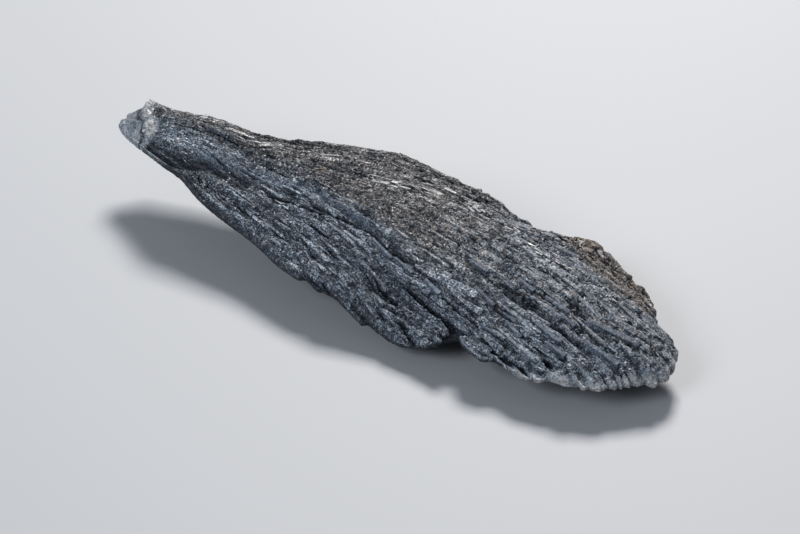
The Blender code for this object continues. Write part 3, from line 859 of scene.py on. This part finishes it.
def shapeOf(obj):
    corners = coordinates(obj.data)
    faces = [tuple(face.vertices) for face in obj.data.polygons]
    bpy.data.objects.remove(obj)
    return corners, faces


def splinterShape():  # lies along x from 0 to 1, its edge upwards, one end chiselled
    deselect()
    bpy.ops.mesh.primitive_cylinder_add(vertices=3, radius=1, depth=1)
    corners, faces = shapeOf(bpy.context.object)
    side, up, along = corners[:, 0], corners[:, 1], corners[:, 2] + 0.5
    return np.stack([np.where(up > 0.5, along * 0.86 + 0.02, along), side, up], -1), faces


def bladeShape():  # flat topped, its edges taken off
    deselect()
    bpy.ops.mesh.primitive_cube_add(size=2)
    blade = bpy.context.object
    soft = blade.modifiers.new("edges", "BEVEL")
    soft.width, soft.segments, soft.limit_method = 0.28, 1, "NONE"
    applyAll(blade)
    corners, faces = shapeOf(blade)
    corners[:, 0] = corners[:, 0] / 2 + 0.5
    corners[:, 1] *= np.where(corners[:, 0] < 0.5, 0.55, 1)
    return corners, faces


def roundShape(detail):
    deselect()
    bpy.ops.mesh.primitive_ico_sphere_add(subdivisions=detail, radius=1)
    corners, faces = shapeOf(bpy.context.object)
    corners[:, 0] = corners[:, 0] / 2 + 0.5
    return corners, faces


def surfaceAt(x, y, under):
    return heights(placeOf(x, y), x, y)[under]


def slopeAt(x, y, under=0):
    return (surfaceAt(x, y + 0.25, under) - surfaceAt(x, y - 0.25, under)) / 0.5


def onSurface(x, y, under=0):
    return np.stack([x, y, surfaceAt(x, y, under)], -1)


def coolSide(x, y):
    return y < lineAt(zones["warmLine"], x)


def scatter(kind, under):
    x, y = (dice.uniform(*span, kind["count"] * 5) for span in ((-33, 33), (-14, 9)))
    likely = lineAt(kind["along"], x) * np.where(coolSide(x, y), *kind["sides"])
    likely = likely + patches(x, y, kind.get("more", []))
    wanted = dice.uniform(0, 1, len(x)) < likely
    chosen = np.nonzero((toRimAt(x, y) > placing["rim"][1]) & wanted)[0][: kind["count"]]
    x, y = x[chosen], y[chosen]
    spread = np.interp(x, (-33, -5, 15), (0.5, 0.8, 1))
    x1 = x + np.exp(dice.uniform(*np.log(kind["length"]), len(x))) * spread
    y1 = fibreY(placeOf(x, y), x1) + dice.normal(0, kind["stray"], len(x)) * (x1 - x)
    slope, start, end = slopeAt(x, y, under), onSurface(x, y, under), onSurface(x1, y1, under)
    middle = (x + x1) / 2, (y + y1) / 2
    front, back, beneath = placing["rim"]
    clear = beneath if under else np.where(y < fibreY(np.full(len(x), 0.5), x), front, back)
    ok = (np.minimum(toRimAt(x, y), toRimAt(x1, y1)) > clear) & (np.abs(slope) < placing["slope"][under])
    ok &= np.abs(end - start)[:, 2] < placing["rise"][under] * (x1 - x)
    ok &= crackDepth(placeOf(*middle), *middle) <= 0.12
    if under:
        ok &= np.minimum(start[:, 2], end[:, 2]) > placing["lowest"]
    else:
        ok &= smoothness(*middle) < dice.uniform(0.3, 1, len(x))
        ok &= np.maximum.reduce([onBlades(*at)[0] for at in ((x, y), middle, (x1, y1))]) < 0.2
    return start[ok], end[ok], slope[ok], spread[ok]


def layCopies(name, shape, kind, start, end, slope, spread, tones, under=0, flat=0.35):
    n, up = len(start), -1 if under else 1
    axis = end - start
    length = np.linalg.norm(axis, axis=1)[:, None]
    axis = axis / length
    normal = np.stack([np.zeros(n), -slope, np.ones(n)], -1) * up
    normal -= axis * (normal * axis).sum(1)[:, None]
    normal /= np.linalg.norm(normal, axis=1)[:, None]
    side = np.cross(normal, axis)
    roll = dice.normal(0, kind["roll"], n)[:, None]
    turned = normal * np.cos(roll) - side * np.sin(roll)
    side, normal = side * np.cos(roll) + normal * np.sin(roll), turned
    width, height = (dice.uniform(*kind[key], n)[:, None] * spread[:, None] for key in ("width", "height"))
    corners, faces = shape
    points = start[:, None] + axis[:, None] * (length * corners[:, 0])[:, :, None]
    points = points + side[:, None] * (width * corners[:, 1])[:, :, None]
    lift = height * (corners[:, 2] - kind["sunk"]) * (flat + (1 - flat) * corners[:, 0])
    points = points + normal[:, None] * lift[:, :, None]
    return joinedPiece(name, points, faces, tones)


def joinedPiece(name, points, faces, tones):
    n, corners = points.shape[:2]
    flat = placed(*points.reshape(-1, 3).T)
    flat[:, 2] = np.clip(flat[:, 2], 0.00001, crystal["highest"] * mm)
    mesh = bpy.data.meshes.new(name)
    allFaces = [tuple(v + k * corners for v in face) for k in range(n) for face in faces]
    mesh.from_pydata(flat.tolist(), [], allFaces)
    piece = linked(name, mesh)
    only(piece)
    turnOutwards()
    storeZones(piece, np.repeat(tones, corners))
    mesh.calc_loop_triangles()
    print(name, n, "copies,", len(mesh.loop_triangles), "triangles")
    return piece


def makeFibres(name, kind, shape):
    under = kind.get("under", 0)
    start, end, slope, spread = scatter(kind, under)
    tones = dice.uniform(*kind["tone"], len(start))
    return layCopies(name, shape, kind, start, end, slope, spread, tones, under)


# flat flakes painted near white as glints: x, y, spread along and across the fibres, how many, length, half
# width
flakeGroups = [
    (-23.0, 1.2, 1.2, 0.3, 5, 0.8, 0.1), (-20.4, 0.9, 0.8, 0.25, 9, 1.4, 0.1),
    (-18.3, 0.7, 0.8, 0.2, 6, 1.0, 0.09), (-16.3, 0.9, 0.5, 0.3, 8, 0.8, 0.1),
    (-13.5, 1.2, 1.2, 0.3, 7, 0.7, 0.07), (-3.2, 0.4, 0.4, 0.3, 5, 2.0, 0.07),
    (-1.0, 0.9, 0.8, 0.4, 8, 1.5, 0.07), (1.4, 1.5, 0.8, 0.3, 7, 1.4, 0.07),
    (3.6, 2.8, 1.0, 0.4, 12, 1.3, 0.06), (6.4, 2.2, 0.8, 0.3, 8, 1.2, 0.08),
    (8.9, 3.4, 0.8, 0.4, 8, 0.9, 0.07), (10.8, 1.6, 1.0, 0.3, 6, 1.2, 0.07),
    (14.8, 0.2, 0.7, 0.3, 11, 1.2, 0.085), (17.6, 0.3, 0.6, 0.35, 13, 0.9, 0.08),
    (19.6, -0.7, 0.6, 0.2, 6, 0.8, 0.1), (16.3, 6.6, 0.3, 0.2, 5, 0.6, 0.22),
    (18.7, 6.5, 0.4, 0.25, 9, 0.45, 0.16), (26.6, 1.7, 0.2, 0.3, 4, 0.4, 0.15),
    (-10.6, -2.9, 0.15, 0.15, 4, 0.3, 0.12), (-15.3, -6.1, 1.5, 0.08, 6, 1.0, 0.06),
    (-11.2, -5.4, 1.2, 0.06, 5, 1.0, 0.06), (15.4, -7.7, 0.1, 0.15, 2, 0.5, 0.16),
    (-30.5, 0.8, 0.2, 0.3, 5, 0.35, 0.13), (-29.9, -0.4, 0.2, 0.35, 7, 0.35, 0.14),
    (-29.0, -1.8, 0.2, 0.4, 9, 0.35, 0.15), (-24.0, -2.5, 1.2, 0.5, 16, 0.25, 0.08),
    (-13.5, -1.5, 1.5, 0.9, 22, 0.2, 0.07), (-17.4, -4.4, 0.3, 0.3, 5, 0.25, 0.09),
    (22.6, -5.2, 0.2, 0.3, 3, 0.3, 0.1), (23.0, -0.4, 1.0, 0.8, 8, 0.3, 0.1),
    (26.0, -0.2, 1.2, 0.6, 8, 0.3, 0.09),
]


def flakePlaces():
    rows = []
    for x, y, along, across, count, length, width in flakeGroups:
        for _ in range(count):
            startX = x + dice.normal(0, along)
            endX = startX + length * dice.uniform(0.4, 1.1)
            place = placeOf(np.array([x]), np.array([y]))
            startY, endY = fibreY(place, np.array([startX, endX])) + dice.normal(0, across)
            rows.append((startX, startY, endX, endY, width * dice.uniform(0.7, 1.3)))
    return rows


def makeNamed(name, rows, kind):
    x, y, x1, y1, width = np.array(rows).T
    start, end = (onSurface(*at) + (0, 0, kind["raised"]) for at in ((x, y), (x1, y1)))
    corners, faces = bladeShape()
    corners[:, 0] = np.interp(corners[:, 0], (0, 0.14, 0.86, 1), (0, 0.1, 0.975, 1))
    corners[:, 1] *= np.where(corners[:, 0] < 0.05, 0.5, 1)
    tones = dice.uniform(*kind["tone"], len(x))
    return layCopies(name, (corners, faces), kind, start, end, slopeAt(x, y), width, tones)


splinter = splinterShape()
fibrePieces = [
    makeFibres("frontFibres", frontFibres, splinter),
    makeFibres("backFibres", backFibres, splinter),
    makeFibres("chips", chips, splinter),
    makeFibres("undersideFibres", undersideFibres, splinter),
    makeFibres("blades", blades, bladeShape()),
    makeFibres("grains", grains, roundShape(1)),
    makeNamed("blueBlades", blueBlades, blueFaces),
    makeNamed("paintedGlintFlakes", flakePlaces(), glintFlakes),
]

# finish
stone = {
    # dark is also the colour of the painted shade
    "cool": (0.028, 0.034, 0.051), "warm": (0.039, 0.037, 0.040), "dark": (0.008, 0.0115, 0.018),
    "pale": (0.31, 0.375, 0.45), "paleWarm": (0.39, 0.37, 0.36), "rust": (0.23, 0.145, 0.07),
    "glint": (0.8, 0.79, 0.78), "coolGlint": (0.56, 0.65, 0.75), "blue": (0.105, 0.148, 0.212),
    "coolSheen": (0.84, 0.89, 1.0), "warmSheen": (1.0, 0.98, 0.98),
    "roughness": (0.7, 0.24),  # dull and polished
    "specular": (0.5, 0.05),  # light and dark stone
    "bump": 0.00005, "facets": 0.7, "index": 1.55,
    "cells": (8500.0, 3400.0, 1700.0, 14000.0),  # specks, clumps, blotches and tiny grains per metre
    "grains": ((5200.0, 2.0), (240.0, 3.0)),  # per metre, detail
    "shading": (1.3, 1.0, 0.5),  # how much each cell's brightness varies
}


class Tree:
    def __init__(self, name):
        self.material = bpy.data.materials.new(name)
        self.material.use_nodes = True
        self.nodes, self.links = self.material.node_tree.nodes, self.material.node_tree.links
        self.shader = self.nodes["Principled BSDF"]

    def add(self, kind, settings=None, **sockets):
        node = self.nodes.new("ShaderNode" + kind)
        for key, value in (settings or {}).items():
            setattr(node, key, value)
        for key, value in sockets.items():
            self.put(node.inputs[int(key[1:])] if key[0] == "_" else node.inputs[key], value)
        return node

    def put(self, socket, value):
        if isinstance(value, bpy.types.NodeSocket):
            self.links.new(value, socket)
        elif isinstance(value, bpy.types.Node):
            self.links.new(value.outputs[0], socket)
        else:
            socket.default_value = value

    def mix(self, amount, a, b, blend="MIX"):
        node = self.add("Mix", {"data_type": "RGBA", "blend_type": blend})
        for place, value in ((0, amount), (6, a), (7, b)):
            self.put(node.inputs[place], (*value, 1) if isinstance(value, tuple) else value)
        return node.outputs[2]

    def math(self, operation, a, b=0.5, clamp=False):
        return self.add("Math", {"operation": operation, "use_clamp": clamp}, _0=a, _1=b).outputs[0]

    def times(self, first, *others):
        for value in others:
            first = self.math("MULTIPLY", first, value)
        return first

    def plus(self, first, *others):
        for value in others:
            first = self.math("ADD", first, value)
        return first

    def ramp(self, value, low, high, start=0.0, end=1.0):
        return self.add("MapRange", _0=value, _1=low, _2=high, _3=start, _4=end).outputs[0]

    def colours(self, value):
        return self.add("SeparateColor", _0=value).outputs

    def vector(self, operation, **sockets):
        return self.add("VectorMath", {"operation": operation}, **sockets)


def stoneFinish():
    t = Tree("silkyTaramite")
    where = t.add("TexCoord").outputs["Object"]
    fibre = t.add("Attribute", {"attribute_name": "fibre"}).outputs["Vector"]
    spread = t.add("SeparateXYZ", _0=fibre).outputs[2]
    zone, mark = (t.add("Attribute", {"attribute_name": name}).outputs for name in ("zones", "marks"))
    warm, pale, rust = t.colours(zone["Color"])
    smooth, blue, dark = t.colours(mark["Color"])
    tone, speckled = zone["Alpha"], mark["Alpha"]
    named = t.math("MAXIMUM", t.times(t.ramp(tone, 0.0, -0.2), 0.35), t.ramp(tone, 0.95, 1.1))
    smooth = t.math("MAXIMUM", smooth, named)
    rough = t.math("SUBTRACT", 1.0, t.times(smooth, 0.75))

    def along(across, length, kind, result, **sockets):  # finer towards the spread end, so widths stay even
        found = []
        for amount in (0.3, 1.0):
            stretched = t.add("Mapping", Vector=fibre, Scale=(across * amount, length, 0)).outputs[0]
            found.append(t.add(kind, Vector=stretched, Scale=1.0, **sockets).outputs[result])
        return t.colours(t.mix(spread, *found))[0]

    def noise(perMetre, detail):
        return t.add("TexNoise", Vector=where, Scale=perMetre, Detail=detail, Roughness=0.65).outputs[0]

    reaches = (1.5, 0.12), (5.0, 0.4), (14.0, 1.1)
    wide, fine, hair = (along(*reach, "TexNoise", 0, Detail=2.0) for reach in reaches)
    needle = along(9.0, 2.2, "TexVoronoi", "Color")
    cells = [t.add("TexVoronoi", Vector=where, Scale=scale).outputs["Color"] for scale in stone["cells"]]
    speck, clump, blotch, tiny = (t.colours(cell)[0] for cell in cells)
    grit, patch = (noise(*settings) for settings in stone["grains"])
    warm = t.math("ADD", warm, t.times(t.math("SUBTRACT", clump, 0.5), 0.9), clamp=True)
    rust = t.math("MAXIMUM", rust, t.times(warm, t.ramp(clump, 0.84, 0.95), 0.4))
    paleStone = t.mix(warm, stone["pale"], stone["paleWarm"])
    specks = t.times(t.ramp(speck, 0.76, 0.95), t.ramp(patch, 0.25, 0.65), 0.55)
    light = t.plus(t.times(t.ramp(hair, 0.52, 0.72), 0.15), t.times(t.ramp(needle, 0.75, 1.0), 0.2), specks)
    light = t.times(t.plus(light, t.times(speckled, t.ramp(speck, 0.4, 0.75), 0.75)), rough)
    light = t.math("ADD", light, t.times(t.ramp(pale, 0.5, 1.0), t.ramp(grit, 0.36, 0.6)), clamp=True)
    # front cool and back warm: partly the stone's own tones, partly painted light from the cool fill and the
    # warm key
    base = t.mix(warm, stone["cool"], stone["warm"])
    layers = [  # how much of each colour goes over the ones before
        (t.times(t.math("MAXIMUM", blue, t.ramp(tone, 0.0, -0.25)), 0.8), stone["blue"]),
        # painted shade of cracks, pits, the groove and the underside, with the duller patches
        (t.times(dark, 0.7), stone["dark"]),
        (t.times(t.ramp(fine, 0.5, 0.36), 0.22), stone["dark"]),
        (t.times(t.ramp(wide, 0.5, 0.36), 0.15), stone["dark"]),
        (light, paleStone),
        (t.times(rust, t.ramp(grit, 0.4, 0.62)), stone["rust"]),
        (t.times(t.ramp(tiny, 0.35, 0.0), rough, 0.8), stone["dark"]),
        (t.times(t.ramp(tiny, 0.9, 1.0), rough, 0.8), t.mix(warm, stone["coolGlint"], stone["glint"])),
        (t.times(t.ramp(grit, 0.44, 0.3), rough), stone["dark"]),
        # darker where pale drops, which carries the painted shade of cracks and pits
        (t.times(t.ramp(pale, 0.5, 0.1), 0.7), stone["dark"]),
        (t.times(t.ramp(tone, 0.6, 1.0), 0.4), paleStone),
        # painted glints on the flakes
        (t.times(t.ramp(tone, 0.93, 1.1), 0.8), stone["glint"]),
        (t.times(t.ramp(tone, 0.4, 0.0), t.ramp(tone, -0.3, 0.0), 0.7), stone["dark"]),
    ]
    for amount, colour in layers:
        base = t.mix(amount, base, colour)
    shaded = t.math("SUBTRACT", 1.0, t.times(smooth, 0.7))
    for cell, contrast in zip((speck, clump, blotch), stone["shading"]):
        base = t.mix(shaded, base, t.plus(t.times(cell, contrast), 1 - contrast / 2), "MULTIPLY")
    # near white where pale passes 1: the white crest of the tip and the painted rim highlight
    base = t.mix(t.times(t.ramp(pale, 1.05, 2.0), t.ramp(grit, 0.25, 0.55)), base, stone["glint"])
    height = t.plus(t.times(hair, 0.4), t.times(needle, 0.3), t.times(grit, 0.9), t.times(speck, 0.5))
    bump = t.add("Bump", Strength=1.0, Distance=stone["bump"], Height=height)
    facets = t.vector("SUBTRACT", _0=cells[0], _1=(0.5, 0.5, 0.5))
    facets = t.vector("SCALE", _0=facets, Scale=t.times(rough, stone["facets"]))
    sheen = t.math("SUBTRACT", warm, dark, clamp=True)
    for socket, value in {
        "Base Color": base,
        "Roughness": t.ramp(t.times(t.plus(speck, tone), 0.5), 0.25, 0.8, *stone["roughness"]),
        "IOR": stone["index"],
        "Specular IOR Level": t.ramp(dark, 0.1, 1.3, *stone["specular"]),
        "Specular Tint": t.mix(sheen, stone["coolSheen"], stone["warmSheen"]),
        "Normal": t.vector("NORMALIZE", _0=t.vector("ADD", _0=bump, _1=facets)),
    }.items():
        t.put(t.shader.inputs[socket], value)
    return t.material


body.data.materials.clear()
finish = stoneFinish()
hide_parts("taramite_crystal")
for piece in [body, *fibrePieces]:
    piece.data.materials.append(finish)
    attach(piece, "root")

# floor, camera and light
shot = {"lens": 126, "azimuth": 31, "elevation": 35, "distance": 0.28, "target": (0.0002, 0.00225, 0)}
lights = {  # azimuth, elevation, distance, size, power, colour
    "keyPanel": (203, 44, 0.6, 0.16, 4.3, (1.0, 0.98, 0.96)),
    "fillPanel": (-20, 38, 0.7, 0.3, 2.0, (0.86, 0.93, 1.0)),
}
room = {"floor": (0.46, 0.47, 0.49, 1), "floorRoughness": 0.6, "sky": (0.8, 0.86, 0.95, 1), "skyPower": 0.17}


def makeFloor():
    deselect()
    bpy.ops.mesh.primitive_plane_add(size=3)
    floor = bpy.context.object
    floor.name = "floor"
    t = Tree("paleFloor")
    t.put(t.shader.inputs["Base Color"], room["floor"])
    t.put(t.shader.inputs["Roughness"], room["floorRoughness"])
    floor.data.materials.append(t.material)


def direction(azimuth, elevation):
    a, e = math.radians(azimuth), math.radians(elevation)
    return np.array([math.sin(a) * math.cos(e), -math.cos(a) * math.cos(e), math.sin(e)])


def lookAt(obj, azimuth, elevation, distance):
    obj.location = np.array(shot["target"]) + direction(azimuth, elevation) * distance
    obj.rotation_euler = (math.radians(90 - elevation), 0, math.radians(azimuth))


def makeCamera():
    camera = linked("camera", bpy.data.cameras.new("camera"))
    camera.data.lens, camera.data.sensor_width = shot["lens"], 36
    camera.data.clip_start = 0.01
    lookAt(camera, shot["azimuth"], shot["elevation"], shot["distance"])
    bpy.context.scene.camera = camera


def makeLight(name, azimuth, elevation, distance, size, power, colour):
    light = linked(name, bpy.data.lights.new(name, "AREA"))
    light.data.size, light.data.energy, light.data.color = size, power, colour
    lookAt(light, azimuth, elevation, distance)


makeFloor()
makeCamera()
for name, settings in lights.items():
    makeLight(name, *settings)
world = bpy.context.scene.world or bpy.data.worlds.new("studio")
bpy.context.scene.world = world
world.use_nodes = True
sky = world.node_tree.nodes["Background"].inputs
sky["Color"].default_value, sky["Strength"].default_value = room["sky"], room["skyPower"]
bpy.context.scene.view_settings.view_transform = "Standard"
